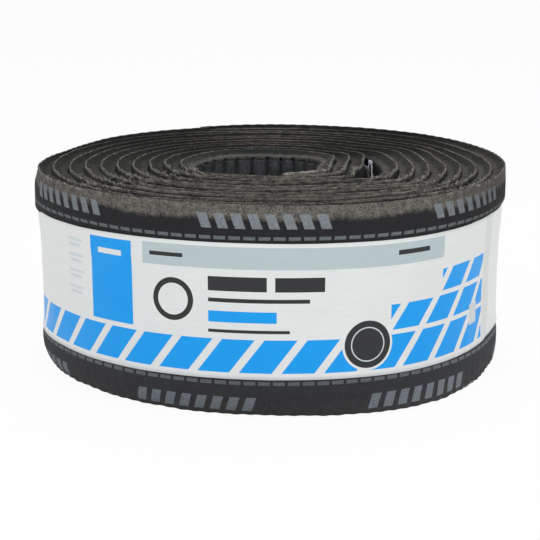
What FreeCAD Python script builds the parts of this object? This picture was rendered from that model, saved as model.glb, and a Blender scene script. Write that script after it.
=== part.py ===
import FreeCAD, Part
import math
import os

import Sketcher

Vector = FreeCAD.Vector
Rotation = FreeCAD.Rotation
Placement = FreeCAD.Placement

# A roll of fabric-and-matrix ridge vent standing on its end. The origin is at the middle of the
# bottom end, +Z is the roll's axis, and -Y is the front.
doc = FreeCAD.newDocument("ridge_vent_roll")

# Driving dimensions: millimetres, degrees and counts
SIZES = {
    "mat_width": 266.7,
    "bore_diameter": 165.0,
    "bore_offset": 17.0,
    "winding_pitch": 21.15,
    "turn_count": 11,
    "inner_end_angle": -70,
    "outer_end_angle": 110,
    "tail_gap_offset": 32.0,
    "tail_clearance": 3.0,
    "shoulder_height": 16.0,
    "shoulder_inset": 4.0,
    "foot_height": 6.0,
    "foot_inset": 4.0,
    "channel_depth": 8.0,
    "channel_width": 13.0,
    "end_slit_width": 3.0,
    "end_slit_depth": 5.0,
    "hem_height": 14.0,
    "flute_pitch": 20.0,
    "flute_width": 8.0,
    "flute_depth": 7.0,
    "band_foot": 49.6,
    "band_height": 170.0,
    "band_thickness": 0.4,
    "band_clearance": 0.2,
    "band_overlap": 60.0,
    "band_seam_angle": -15,
    "bag_angle": -19,
    "bag_radius": 126.0,
    "bag_length": 130.0,
    "bag_gap": 25.0,
    "bag_height": 150.0,
    "bag_shoulder": 45.0,
    "bag_seal": 2.0,
    "bag_seal_stand": 10.0,
    "bag_drop": 3.0,
    "bag_clearance": 0.4,
    "bag_end_clearance": 4.0,
}

# How far a cutting profile runs past the face it enters
RUN_OUT = 2.0

sheet = doc.addObject("Spreadsheet::Sheet", "sizes")
for row, (alias, number) in enumerate(SIZES.items(), start=1):
    sheet.set("A%d" % row, alias)
    sheet.set("B%d" % row, str(number))
    sheet.setAlias("B%d" % row, alias)
doc.recompute()

# Sizes that follow from the driving ones
BORE_RADIUS = "(sizes.bore_diameter / 2)"
OUTER_RADIUS = "(sizes.bore_diameter / 2 + sizes.winding_pitch * sizes.turn_count)"
HALF_WIDTH = "(sizes.mat_width / 2)"
TAIL_GAP_RADIUS = "(%s + sizes.winding_pitch + sizes.tail_clearance - sizes.tail_gap_offset)" % BORE_RADIUS
BAND_RADIUS = "(%s + sizes.band_clearance)" % OUTER_RADIUS
POCKET_DEPTH = "(sizes.bag_height + sizes.bag_drop)"


def amount(expression):
    """The number that an expression on the sheet gives now."""
    return float(sheet.evalExpression(expression))


def new_body(label):
    body = doc.addObject("PartDesign::Body", label)
    body.Label = label
    return body


def origin_part(body, role):
    return next(item for item in body.Origin.OriginFeatures if item.Role == role)


def new_sketch(body, name, role, place=None):
    """An empty sketch on one of its body's origin planes, moved by place within that plane's frame."""
    sketch = body.newObject("Sketcher::SketchObject", name)
    sketch.AttachmentSupport = [(origin_part(body, role), "")]
    sketch.MapMode = "FlatFace"
    if place is not None:
        sketch.AttachmentOffset = place
    return sketch


def dimension(sketch, kind, references, expression):
    """A dimension of the sketch that follows an expression on the sheet."""
    index = sketch.addConstraint(Sketcher.Constraint(kind, *references, amount(expression)))
    sketch.setExpression("Constraints[%d]" % index, expression)


def join(sketch, first, first_end, second, second_end):
    sketch.addConstraint(Sketcher.Constraint("Coincident", first, first_end, second, second_end))


def polygon(sketch, corners):
    """Closed straight-sided outline; each corner is a pair of expressions, bound from the sketch origin."""
    points = [Vector(amount(x), amount(y), 0) for x, y in corners]
    sides = [
        sketch.addGeometry(Part.LineSegment(start, end), False)
        for start, end in zip(points, points[1:] + points[:1])
    ]
    for side, following in zip(sides, sides[1:] + sides[:1]):
        join(sketch, side, 2, following, 1)
    for side, (x, y) in zip(sides, corners):
        dimension(sketch, "DistanceX", (-1, 1, side, 1), x)
        dimension(sketch, "DistanceY", (-1, 1, side, 1), y)


def lens_foot(radius, length):
    """How far the ends of a lens lie from the roll's axis, along its middle line."""
    return "sqrt((%s)^2 - (%s)^2 / 4)" % (radius, length)


def lens(sketch, radius, gap, length):
    """Outline between two arcs that share their ends: the inner one round the roll's axis, the outer one
    standing off it by gap at the middle. X is radial and Y runs along the turn."""
    inner = amount(radius)
    half = amount(length) / 2
    chord = amount(lens_foot(radius, length))
    rise = inner + amount(gap) - chord
    outer = (rise ** 2 + half ** 2) / (2 * rise)
    centre = inner + amount(gap) - outer
    spread = math.asin(half / inner)
    reach = math.atan2(half, chord - centre)
    axis = Vector(0, 0, 1)
    inner_arc = sketch.addGeometry(
        Part.ArcOfCircle(Part.Circle(Vector(), axis, inner), -spread, spread), False
    )
    outer_arc = sketch.addGeometry(
        Part.ArcOfCircle(Part.Circle(Vector(centre, 0, 0), axis, outer), -reach, reach), False
    )
    join(sketch, inner_arc, 3, -1, 1)
    join(sketch, inner_arc, 1, outer_arc, 1)
    join(sketch, inner_arc, 2, outer_arc, 2)
    sketch.addConstraint(Sketcher.Constraint("PointOnObject", outer_arc, 3, -1))
    dimension(sketch, "Radius", (inner_arc,), radius)
    dimension(sketch, "DistanceY", (inner_arc, 1, inner_arc, 2), length)
    rise_of = "(%s + %s - %s)" % (radius, gap, lens_foot(radius, length))
    dimension(sketch, "Radius", (outer_arc,), "(%s^2 + (%s)^2 / 4) / (2 * %s)" % (rise_of, length, rise_of))


def check_cut(before, feature, name):
    """A cut that points away from the solid removes nothing, so the volumes are compared."""
    doc.recompute()
    if feature.Shape.Volume >= before:
        raise RuntimeError(name + " removes nothing")
    return feature.Shape.Volume


def through_pocket(body, sketch, name, length):
    """A cut that runs as far each way from the sketch's plane."""
    pocket = body.newObject("PartDesign::Pocket", name)
    pocket.Profile = sketch
    pocket.SideType = "Symmetric"
    pocket.setExpression("Length", length)
    return pocket


def bore_place(turn):
    """A place in the bore's own frame, turned about its axis by an angle in degrees."""
    return Placement(Vector(-amount("sizes.bore_offset"), 0, 0), Rotation(Vector(0, 0, 1), turn))


def spiral_spine(body, name):
    """The line between one turn and the next on the top end: half-turn arcs about centres on the X axis.
    It starts at the mat's inner end beside the bore and drifts until its last arc is round the roll's own
    axis, one turn inside the outer wall."""
    pitch = amount("sizes.winding_pitch")
    offset = amount("sizes.bore_offset")
    loops = int(amount("sizes.turn_count")) - 2
    growth = {"left": (pitch + offset / loops) / 2, "right": (pitch - offset / loops) / 2}
    growth_of = {
        "left": "(sizes.winding_pitch + sizes.bore_offset / %d) / 2" % loops,
        "right": "(sizes.winding_pitch - sizes.bore_offset / %d) / 2" % loops,
    }
    spine = new_sketch(body, name, "XY_Plane", Placement(Vector(0, 0, amount(HALF_WIDTH)), Rotation()))
    spine.setExpression("AttachmentOffset.Base.z", HALF_WIDTH)
    centre = -offset
    radius = amount(BORE_RADIUS) + pitch
    start = math.radians(amount("sizes.inner_end_angle"))
    arcs = []
    for half in range(2 * loops + 1):
        end = math.pi if half % 2 == 0 else 2 * math.pi
        if half == 2 * loops:
            end = math.radians(amount("sizes.outer_end_angle"))
        circle = Part.Circle(Vector(centre, 0, 0), Vector(0, 0, 1), radius)
        arcs.append(spine.addGeometry(Part.ArcOfCircle(circle, start, end), False))
        side = "left" if half % 2 == 0 else "right"
        radius += growth[side]
        centre += growth[side] if side == "left" else -growth[side]
        start = math.pi if half % 2 == 0 else 0.0
    for arc in arcs:
        spine.addConstraint(Sketcher.Constraint("PointOnObject", arc, 3, -1))
    for arc, following in zip(arcs, arcs[1:]):
        spine.addConstraint(Sketcher.Constraint("PointOnObject", arc, 2, -1))
        join(spine, arc, 2, following, 1)
    dimension(spine, "DistanceX", (arcs[0], 3, -1, 1), "sizes.bore_offset")
    dimension(spine, "Radius", (arcs[0],), BORE_RADIUS + " + sizes.winding_pitch")
    for half, (arc, following) in enumerate(zip(arcs, arcs[1:])):
        if half % 2 == 0:
            dimension(spine, "DistanceX", (arc, 3, following, 3), growth_of["left"])
        else:
            dimension(spine, "DistanceX", (following, 3, arc, 3), growth_of["right"])
    return spine


def cut_bore(body, volume):
    """The open middle, with the step where the mat's inner end stands clear of the second turn."""
    bore_sketch = new_sketch(body, "bore_outline", "XY_Plane", bore_place(0))
    circle = Part.Circle(Vector(), Vector(0, 0, 1), amount(BORE_RADIUS))
    ring = bore_sketch.addGeometry(circle, False)
    join(bore_sketch, ring, 3, -1, 1)
    dimension(bore_sketch, "Radius", (ring,), BORE_RADIUS)
    bore = through_pocket(body, bore_sketch, "bore", "sizes.mat_width")
    volume = check_cut(volume, bore, "bore")

    gap_sketch = new_sketch(body, "tail_gap_outline", "XY_Plane", bore_place(amount("sizes.inner_end_angle")))
    centre = Vector(amount("sizes.tail_gap_offset"), 0, 0)
    reach = Vector(amount(TAIL_GAP_RADIUS), 0, 0)
    half_circle = Part.Circle(centre, Vector(0, 0, 1), amount(TAIL_GAP_RADIUS))
    arc = gap_sketch.addGeometry(Part.ArcOfCircle(half_circle, math.pi, 2 * math.pi), False)
    step = gap_sketch.addGeometry(Part.LineSegment(centre + reach, centre - reach), False)
    join(gap_sketch, arc, 2, step, 1)
    join(gap_sketch, step, 2, arc, 1)
    gap_sketch.addConstraint(Sketcher.Constraint("PointOnObject", arc, 3, -1))
    gap_sketch.addConstraint(Sketcher.Constraint("PointOnObject", arc, 1, -1))
    gap_sketch.addConstraint(Sketcher.Constraint("PointOnObject", arc, 2, -1))
    dimension(gap_sketch, "DistanceX", (-1, 1, arc, 3), "sizes.tail_gap_offset")
    dimension(gap_sketch, "Radius", (arc,), TAIL_GAP_RADIUS)
    gap = through_pocket(body, gap_sketch, "tail_gap", "sizes.mat_width")
    return check_cut(volume, gap, "tail_gap")


def cut_flutes(body, volume):
    """Upright folds of the open matrix on the bore's wall, between the fabric hems of the two ends."""
    step = math.degrees(amount("sizes.flute_pitch / %s" % BORE_RADIUS))
    offset = amount("sizes.tail_gap_offset")
    bore_radius = amount(BORE_RADIUS)
    meeting = (bore_radius ** 2 - amount(TAIL_GAP_RADIUS) ** 2 + offset ** 2) / (2 * offset)
    open_angle = math.degrees(math.acos(meeting / bore_radius))
    count = int((360 - open_angle) / step) - 1
    turn = amount("sizes.inner_end_angle") + step
    sketch = new_sketch(body, "flute_outline", "XY_Plane", bore_place(turn))
    mouth = "%s - %s" % (BORE_RADIUS, RUN_OUT)
    flare = "(sizes.flute_width / 2 * (1 + %s / sizes.flute_depth))" % RUN_OUT
    polygon(sketch, [
        (mouth, "-" + flare),
        (BORE_RADIUS + " + sizes.flute_depth", "0"),
        (mouth, flare),
    ])
    flute = through_pocket(body, sketch, "flute", "sizes.mat_width - 2 * sizes.hem_height")
    volume = check_cut(volume, flute, "flute")
    flutes = body.newObject("PartDesign::PolarPattern", "flutes")
    flutes.Originals = [flute]
    flutes.Axis = (sketch, ["N_Axis"])
    flutes.Angle = step * (count - 1)
    flutes.Occurrences = count
    body.Tip = flutes
    return check_cut(volume, flutes, "flutes")


def cut_turns(body, volume):
    """The spiral channel between the turns on both ends. Each turn stands up in a crest along its outer
    face and falls away inwards to the foot of the next turn."""
    spine = spiral_spine(body, "turn_line")
    foot = "%s + sizes.winding_pitch" % BORE_RADIUS
    slope = "(sizes.channel_width * (1 + %s / sizes.channel_depth))" % RUN_OUT
    upright = Rotation(amount("sizes.inner_end_angle"), 0, 90)
    profile = new_sketch(body, "turn_profile", "XY_Plane",
                         Placement(Vector(-amount("sizes.bore_offset"), 0, 0), upright))
    polygon(profile, [
        (foot, HALF_WIDTH + " - sizes.channel_depth"),
        ("%s + %s" % (foot, slope), "%s + %s" % (HALF_WIDTH, RUN_OUT)),
        (foot, "%s + %s" % (HALF_WIDTH, RUN_OUT)),
    ])
    doc.recompute()
    channel = body.newObject("PartDesign::SubtractivePipe", "turn_channel")
    channel.Profile = profile
    channel.Spine = (spine, [])
    volume = check_cut(volume, channel, "turn_channel")
    both = body.newObject("PartDesign::Mirrored", "turn_channels")
    both.Originals = [channel]
    both.MirrorPlane = (origin_part(body, "XY_Plane"), [""])
    body.Tip = both
    return check_cut(volume, both, "turn_channels")


def cut_outer_end(body, volume):
    """The slit down the outer wall where the mat's outer end lies on the turn below."""
    turn = Rotation(Vector(0, 0, 1), amount("sizes.outer_end_angle"))
    sketch = new_sketch(body, "end_slit_outline", "XY_Plane", Placement(Vector(), turn))
    outside = "%s + %s" % (OUTER_RADIUS, RUN_OUT)
    inside = "%s - sizes.end_slit_depth" % OUTER_RADIUS
    polygon(sketch, [
        (inside, "0"),
        (outside, "0"),
        (outside, "sizes.end_slit_width"),
    ])
    slit = through_pocket(body, sketch, "end_slit", "sizes.mat_width")
    return check_cut(volume, slit, "end_slit")


def cut_bag_pocket(body, volume):
    """The gap that the bag of nails holds open between two turns of the top end."""
    place = Placement(Vector(0, 0, amount(HALF_WIDTH)), Rotation(Vector(0, 0, 1), amount("sizes.bag_angle")))
    sketch = new_sketch(body, "bag_pocket_outline", "XY_Plane", place)
    sketch.setExpression("AttachmentOffset.Base.z", HALF_WIDTH)
    lens(sketch, "sizes.bag_radius", "sizes.bag_gap", "sizes.bag_length")
    pocket = body.newObject("PartDesign::Pocket", "bag_pocket")
    pocket.Profile = sketch
    pocket.setExpression("Length", POCKET_DEPTH)
    return check_cut(volume, pocket, "bag_pocket")


def build_vent_roll():
    """The wound mat: a turned solid about its mid-height, with its bore, its turns and its folds."""
    body = new_body("vent_roll")
    section = new_sketch(body, "roll_section", "XZ_Plane")
    polygon(section, [
        ("0", "-" + HALF_WIDTH),
        (OUTER_RADIUS + " - sizes.foot_inset", "-" + HALF_WIDTH),
        (OUTER_RADIUS, "-%s + sizes.foot_height" % HALF_WIDTH),
        (OUTER_RADIUS, HALF_WIDTH + " - sizes.shoulder_height"),
        (OUTER_RADIUS + " - sizes.shoulder_inset", HALF_WIDTH),
        ("0", HALF_WIDTH),
    ])
    roll = body.newObject("PartDesign::Revolution", "roll")
    roll.Profile = section
    roll.ReferenceAxis = (section, ["V_Axis"])
    roll.Angle = 360
    doc.recompute()
    volume = cut_bore(body, roll.Shape.Volume)
    volume = cut_turns(body, volume)
    volume = cut_flutes(body, volume)
    volume = cut_outer_end(body, volume)
    cut_bag_pocket(body, volume)
    body.setExpression("Placement.Base.z", HALF_WIDTH)
    return body


def build_label_band():
    """The paper band round the roll, one layer with its outer end lapped over the inner one."""
    body = new_body("label_band")
    top = "(sizes.band_foot + sizes.band_height)"
    layers = [
        ("band_layer", BAND_RADIUS, "360"),
        ("band_lap", BAND_RADIUS + " + sizes.band_thickness", "sizes.band_overlap / %s * 180 / pi" % BAND_RADIUS),
    ]
    for name, inside, angle in layers:
        sketch = new_sketch(body, name + "_section", "XZ_Plane")
        outside = inside + " + sizes.band_thickness"
        polygon(sketch, [
            (inside, "sizes.band_foot"),
            (outside, "sizes.band_foot"),
            (outside, top),
            (inside, top),
        ])
        layer = body.newObject("PartDesign::Revolution", name)
        layer.Profile = sketch
        layer.ReferenceAxis = (sketch, ["V_Axis"])
        layer.setExpression("Angle", angle)
        doc.recompute()
    body.Placement = Placement(Vector(), Rotation(Vector(0, 0, 1), amount("sizes.band_seam_angle")))
    return body


def build_nail_bag():
    """The bag of nails in its gap: a full body that closes to a thin straight seal along the top."""
    body = new_body("nail_bag")
    floor = "(sizes.mat_width - %s)" % POCKET_DEPTH
    top = "(sizes.mat_width - sizes.bag_drop)"
    radius = "(sizes.bag_radius + sizes.bag_clearance)"
    gap = "(sizes.bag_gap - 2 * sizes.bag_clearance)"
    length = "(sizes.bag_length - 2 * sizes.bag_end_clearance)"
    outline = new_sketch(body, "bag_outline", "XY_Plane", Placement(Vector(0, 0, amount(floor)), Rotation()))
    outline.setExpression("AttachmentOffset.Base.z", floor)
    lens(outline, radius, gap, length)
    full = body.newObject("PartDesign::Pad", "bag_body")
    full.Profile = outline
    full.setExpression("Length", "sizes.bag_height")
    doc.recompute()
    volume = full.Shape.Volume

    seal = radius + " + sizes.bag_seal_stand"
    slopes = [
        ("inner_slope", seal, "%s - %s" % (lens_foot(radius, length), RUN_OUT)),
        ("outer_slope", seal + " + sizes.bag_seal", "%s + %s + %s" % (radius, gap, RUN_OUT)),
    ]
    for name, edge, reach in slopes:
        sketch = new_sketch(body, name + "_outline", "XZ_Plane")
        polygon(sketch, [
            (edge, top + " + %s" % RUN_OUT),
            (edge, top),
            (reach, top + " - sizes.bag_shoulder"),
            (reach, top + " + %s" % RUN_OUT),
        ])
        slope = through_pocket(body, sketch, name, "sizes.bag_length")
        volume = check_cut(volume, slope, name)
    body.Placement = Placement(Vector(), Rotation(Vector(0, 0, 1), amount("sizes.bag_angle")))
    return body


bodies = [build_vent_roll(), build_label_band(), build_nail_bag()]
doc.recompute()

failed = [item.Name for item in doc.Objects if {"Invalid", "Error"} & set(item.State)]
if failed:
    raise RuntimeError("failed objects: " + ", ".join(failed))
for body in bodies:
    if body.Shape.isNull() or not body.Shape.isValid() or len(body.Shape.Solids) != 1:
        raise RuntimeError(body.Label + " is not one valid solid")

os.makedirs("parts", exist_ok=True)
for body in bodies:
    body.Shape.exportStep("parts/%s.step" % body.Label)
    print(body.Label, round(body.Shape.Volume), "mm3")
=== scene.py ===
import math

import bpy
import numpy as np
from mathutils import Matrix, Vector


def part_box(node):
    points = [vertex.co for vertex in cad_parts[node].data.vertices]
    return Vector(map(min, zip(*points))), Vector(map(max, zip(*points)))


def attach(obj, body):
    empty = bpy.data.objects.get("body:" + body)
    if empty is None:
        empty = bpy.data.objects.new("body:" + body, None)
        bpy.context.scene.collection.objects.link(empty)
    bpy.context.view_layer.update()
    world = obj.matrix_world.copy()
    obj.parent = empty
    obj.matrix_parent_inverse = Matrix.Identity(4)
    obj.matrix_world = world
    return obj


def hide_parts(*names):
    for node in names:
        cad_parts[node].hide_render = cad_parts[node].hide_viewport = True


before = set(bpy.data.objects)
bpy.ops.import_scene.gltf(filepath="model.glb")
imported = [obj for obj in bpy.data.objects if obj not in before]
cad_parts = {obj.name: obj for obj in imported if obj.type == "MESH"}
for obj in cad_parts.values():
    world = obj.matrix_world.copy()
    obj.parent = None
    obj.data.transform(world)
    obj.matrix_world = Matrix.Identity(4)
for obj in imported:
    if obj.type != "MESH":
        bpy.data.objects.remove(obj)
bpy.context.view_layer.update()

# A wound roll of fabric-and-matrix ridge vent, standing on its end with a paper band round it.
# Lengths are metres and angles radians, in the part's own frame: +Z up, -Y to the front.
# A bump round the roll is a middle and a spread in degrees, and a height.
# A wave is a height, a length and a seed.
ROLL_LOW, ROLL_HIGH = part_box("vent_roll")
BAND_LOW, BAND_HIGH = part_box("label_band")
BAG_LOW, BAG_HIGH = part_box("nail_bag")

MAT_WIDTH = ROLL_HIGH.z
ROLL_RADIUS = (ROLL_HIGH.x - ROLL_LOW.x) / 2
BAND_RADIUS = (BAND_HIGH.x - BAND_LOW.x) / 2
BAG_ANGLE = math.atan2((BAG_LOW.y + BAG_HIGH.y) / 2, (BAG_LOW.x + BAG_HIGH.x) / 2)
BAG_WAY = np.array([math.cos(BAG_ANGLE), math.sin(BAG_ANGLE)])
FULL_TURN = 2 * math.pi
FRONT = -math.pi / 2
FRONT_TURN = 0.75
STEPS_PER_TURN = 720
LEAST_STEP = 0.001
KNOTS = 4096
UPRIGHT = 0.9

# The winding: turns are counted from the right of the innermost turn, counter-clockwise from above
INNER_END = -0.225
OUTER_END = 10.306
WRAP_START = OUTER_END - 1.006
WRAP_BLEND = (WRAP_START - 0.4, WRAP_START + 0.05)
FIRST_RADIUS = 0.0935
ROUND_PITCH = 0.0224
LEFT_SWELL = 0.021
SWELL_LOSS = 0.045
WINDING_WAVES = ((0.0011, 0.07, 1), (0.0006, 0.025, 2))

# The right of the turns, which is flattened, and where the bag dents one turn and pushes out the next
FLAT_FIRST = 0.0822
FLAT_PITCH = 0.0215
FLAT_ANGLE = math.radians(-4)
FLAT_SPREAD = math.radians(36)
FLAT_ROUNDING = 0.7
ROUNDING_TURNS = (5.0, 10.0)
BAG_PUSH = ((-13, 33, 0.0255),)
PUSH_TURNS = (2.5, 2.85)
PUSH_LOSS = 0.12
PUSH_LOSS_TURNS = (7, 10)
BAG_DENT = 0.012
DENT_TURN = 1.925
DENT_SPREAD = 0.032

# The roll's outside, a little out of round, with a step where the outermost turn starts
OUTLINE_RISE = 0.0026
OUTLINE_SHIFT = 0.0012
OUTLINE_WIDENING = 0.0022
OUT_OF_ROUND = (
    (160, 19, -0.0150),
    (190, 22, 0.0030),
    (-62, 26, 0.0065),
    (-20, 13, -0.0030),
    (90, 45, 0.0040),
)
END_STEP = 0.010
END_STEP_TURNS = 0.2

# The mat's thickness, and how the turns meet below their ends
MAT_THICKNESS = 0.0205
LOOSE_LEFT = ((188, 34, 0.012),)
LOOSE_TURNS = 0.1
TURN_CLEARANCE = 0.0006
MEETING_CLEARANCE = 0.0002
MEETING_DEPTH = 0.040
MEETING_GAPS = (0.0095, 0.0135)

# The height of the mat's top edge and of its foot
CREST_DROP = 0.0003
CREST_WAVES = ((0.0011, 0.17, 11), (0.0004, 0.045, 12), (0.0002, 0.006, 13))
OUTER_WAVES = ((0.0005, 0.12, 14),)
RAGGED_WAVES = ((0.0016, 0.008, 15),)
FOOT_WAVES = ((0.0005, 0.05, 21), (0.0005, 0.016, 22))
FLOOR_GAP = 0.0002
FRAYED = ((212, 17, 1.0), (-30, 17, 1.0))
BACK_RISE = ((62, 66, 0.0030),)
CORE_RISE = 0.0008
CORE_TURNS = (0.5, 5.5)
END_DIP = 0.0020
END_DIP_TURN = INNER_END + 1.03
END_DIP_SPREAD = 0.08
SCALLOP_HEIGHT = 0.0002
SCALLOP_PITCH = 0.0185
SCALLOP_WAVES = ((2.5, 0.11, 5),)

# The folded ends of the mat: profiles are insets, drops or rises, and reaches from the nearest crest
LIP_LEVEL = MAT_WIDTH - 0.004
LIP_DROP = 0.0035
CREST_PROFILE = ((0.0002, 0.0011, -0.0011), (0.0009, 0.0, 0.0), (0.0018, 0.0007, 0.0012))
CURL_WAVES = ((0.0006, 0.02, 61),)
SLOPE_FALL = 0.0085
FALL_SHARE = 0.85
FALL_WAVES = ((0.15, 0.07, 31),)
SLOPE_DROP = 0.0012
SLOPE_SHARES = (0.12, 0.3, 0.5, 0.7, 0.86, 1.0)
SLOPE_LENGTH = 0.018
SLOPE_SAG = 0.0010
SAG_LENGTH = 0.03
SAG_SEED = 70
FOLD_INSET = 0.0006
TOP_FOLD = 0.0008
FOOT_FOLD = 0.0025
FOLD_REACH = 0.022
HEM_DEPTH = 0.0130
HEM_STEP = 0.006
HEM_NOTCH = 0.0062
HEM_LEAST = 0.0012
HEM_WAVES = ((0.0005, 0.013, 41),)
HEM_EDGE = 0.0003
HEM_REACH = 0.028
FACE_INSET = 0.0004
FACE_REACH = 0.031
FOOT_LEVEL = 0.003
FOOT_LEAST = 0.0030
FOOT_REACHES = (0.019, 0.010)
FOOT_PROFILE = ((0.0016, 0.0005, 0.0012), (0.0007, 0.0, 0.0), (0.0, 0.0022, -0.0022))

# The wall of the mat: the outermost turn has a rounded foot, a drawn-in waist and a bulge above it
CORE_SPACING = 0.0048
WRAP_SPACING = 0.0028
CORE_LEVELS = (0.030, MAT_WIDTH / 2, MAT_WIDTH - 0.060, MAT_WIDTH - 0.018)
WRAP_LEVELS = (
    *np.linspace(0.007, 0.060, 11),
    *np.linspace(0.080, 0.180, 5),
    *np.linspace(0.192, 0.234, 16),
    *(0.241, 0.248, MAT_WIDTH - 0.012),
)
FOOT_HEIGHTS = (0.0, 0.004, 0.010, 0.020, 0.030, 0.040)
FOOT_INSETS = (0.0086, 0.0058, 0.0036, 0.0012, 0.0002, 0.0)
FOOT_SPREADS = ((218, 38, 1.0), (-54, 24, -1.6), (-5, 25, -0.45))
WAIST_HEIGHTS = (0.026, 0.040, 0.052, 0.070, 0.120, 0.160, 0.180, 0.196, 0.212)
WAIST_SHARES = (0.64, 0.68, 0.90, 1.00, 1.00, 0.90, 0.80, 0.62, 0.54)
WAIST_FRONT = 0.0040
WAIST_SIDES = 0.0048
BULGE_FOOT = 0.2186
BULGE_RISE = 0.0110
BULGE_SAGS = ((184, 18, 0.0176), (-8, 26, 0.0046))
LIP_FOOT = 0.246
LIP_INSET = 0.0012
LIP_LEFT = ((174, 30, 0.0062),)
WALL_RIPPLES = ((0.0006, 0.05, 51),)
WALL_SCALLOP = 0.0003
WALL_SHARE = 0.15
FOOT_SHARE = 1.1
FOOT_ZONE = (0.05, 0.0)
TOP_SHARE = 0.7
TOP_ZONE = (0.222, 0.25)

# The open matrix in the bore
LINING_END = INNER_END + 1.2
LINING_FADE = (LINING_END - 0.05, LINING_END + 0.1)
LINING_SPACING = 0.0017
FOLD_PITCH = 0.0225
FOLD_DEPTH = 0.0055
FOLD_ROUNDNESS = 0.6
FOLD_WAVES = ((0.0035, 0.05, 92),)
MATRIX_TURNS = (INNER_END + 0.004, INNER_END + 1.18)
MATRIX_SPACING = 0.0013
MATRIX_EDGE = 0.75 * HEM_DEPTH
MATRIX_ROWS = 34
MATRIX_THICKNESS = 0.0012
MATRIX_RIPPLES = ((0.0005, 0.004, 91),)
DEPTH_SWING = 0.15
SWING_LENGTH = 0.03
DEPTH_SEEDS = 900

# Loose filaments on the matrix, and fibres on the crests, which grow with the fraying of the edge
FILAMENT_SEED = 7
FILAMENT_COUNT = 520
FILAMENT_POINTS = 16
FILAMENT_TURNS = (INNER_END + 0.02, INNER_END + 1.14)
FILAMENT_SPACING = 0.003
FILAMENT_MARGIN = 0.004
FILAMENT_LEAN = 0.016
FILAMENT_SWAY = 0.004
FILAMENT_SWAYS = (3, 9)
FILAMENT_LIFT = 0.0003
FILAMENT_RADII = (0.00025, 0.00045)
FIBRE_SEED = 19
FIBRE_TRIES = 5200
FIBRE_TURNS = (INNER_END + 0.02, OUTER_END - 0.02)
FIBRE_SHARE = 0.10
FIBRE_INSETS = (0.0004, 0.0022)
FIBRE_ROOT = 0.0012
FIBRE_LEAST = 0.0002
FIBRE_CEILING = MAT_WIDTH + 0.0006
FIBRE_RADII = (0.00010, 0.00018)
FIBRE_THICKENING = 0.8
FIBRE_SIZES = ((0.0009, 0.0024), (0.0008, 0.0012), (0.0005, 0.0008))

# The paper band
BAND_SEAM = math.radians(-37)
BAND_LAP = 0.060
BAND_STATIONS = 760
BAND_ROWS = 30
PAPER_THICKNESS = 0.0004
BAND_STANDOFF = 0.0010
LAP_LIFT = 0.00055
LIFT_ANGLES = (BAND_SEAM - 0.03, BAND_SEAM + 0.005)
BAND_RIPPLES = ((0.00035, 0.045, 101), (0.0002, 0.018, 102))
EDGE_FLARE = 0.0003
FLARE_WIDTH = 0.006
FLARE_SHARE = 0.6
FLARE_WAVES = ((0.4, 0.06, 103),)
SLIP_WAVES = ((0.0006, 0.08, 104),)
BAND_SAGS = ((-150, 40, 0.0018), (-62, 40, 0.0012))
BAND_TOP_SAG = ((203, 24, 0.0036),)
BAND_FOOT_RISE = ((-14, 20, 0.0042),)

# The bag: its full lower part, and the film above it in plan, across and along the gap between two turns
BAG_RADIUS = 0.1365
BAG_TOP = BAG_HIGH.z - 0.030
BAG_ROWS = 34
BAG_SIDES = 72
BAG_HALF_DEPTH = 0.0090
BAG_HALF_LENGTH = 0.046
BAG_BEND_RADIUS = 0.16
BAG_RIPPLES = ((0.0010, 0.012, 111),)
CREASE_SPAN = 0.03
SWELL_LEAST = 0.03
SWELL_START = 0.05
SWELL_SPAN = 0.92
FILM_RADIUS = 0.1400
HALF_FILM = 0.00025
FILM_ROWS = 8
FILM_FLARE = 0.0004
FLARE_UP = 6
FLARE_ALONG = 0.5
FILM_MIDDLE = 0.006
FILM_HALF_LENGTH = 0.062
FILM_TOP_GAP = 0.0004
FILM_WAVES = ((0.0024, 5.0, 121), (0.0008, 1.6, 122))
EDGE_DEPTH = 0.036
LEG_STEPS = 41
LEG_ACROSS = (-0.0025, 0.0045)
# How cloudy the film's edge and flap are: partly their creases, partly a painted highlight
LEG_CLOUD_AND_HIGHLIGHT = (0.34, 0.54)
HOOK_STEPS = 7
HOOK_PLACE = 0.0018
HOOK_RADII = (0.0021, 0.0022)
HOOK_CLOUD_AND_HIGHLIGHT = 0.85
BACK_STEPS = 16
BACK_END = 0.30
BACK_ACROSS = (-0.0004, -0.00152)
BACK_CLOUD_AND_HIGHLIGHT = (0.34, 0.08)
FLAP_STEPS = 15
FLAP_PLACE = -0.0026
FLAP_BULGE = 0.0064
FLAP_BEND = 1.5
FLAP_ALONG = (0.022, 0.062)
FLAP_TOP_GAPS = (0.0030, 0.0040)
FLAP_CLOUD_AND_HIGHLIGHT = (0.22, 0.48)
CREASE_FADE = (-0.0070, -0.0005)

# The print on the fabric, where a group of bars is a height, a lean and a shift, and on the band
DASH_PITCH = 0.018
DASH_LENGTH = 0.0142
DASH_HEIGHT = 0.0045
DASH_LEVELS = (0.2252, 0.0440)
DASH_STRENGTH = 0.66
GROUP_PITCH = 0.300
GROUP_LENGTH = 0.160
BAR_PITCH = 0.0205
BAR_HALF_WIDTH = 0.0062
BAR_HALF_HEIGHT = 0.0092
BAR_GROUPS = ((0.2462, 0.35, 0.092), (0.0165, -0.35, 0.1815))
STRIPE_LEAN = 0.75
STRIPE_PITCH = 0.052
STRIPE_WIDTH = 0.040
# A strip of the band where its ends lap, a tenth darker
LAP_MIDDLE = 0.3565
LAP_HALF = 0.0150
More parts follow.
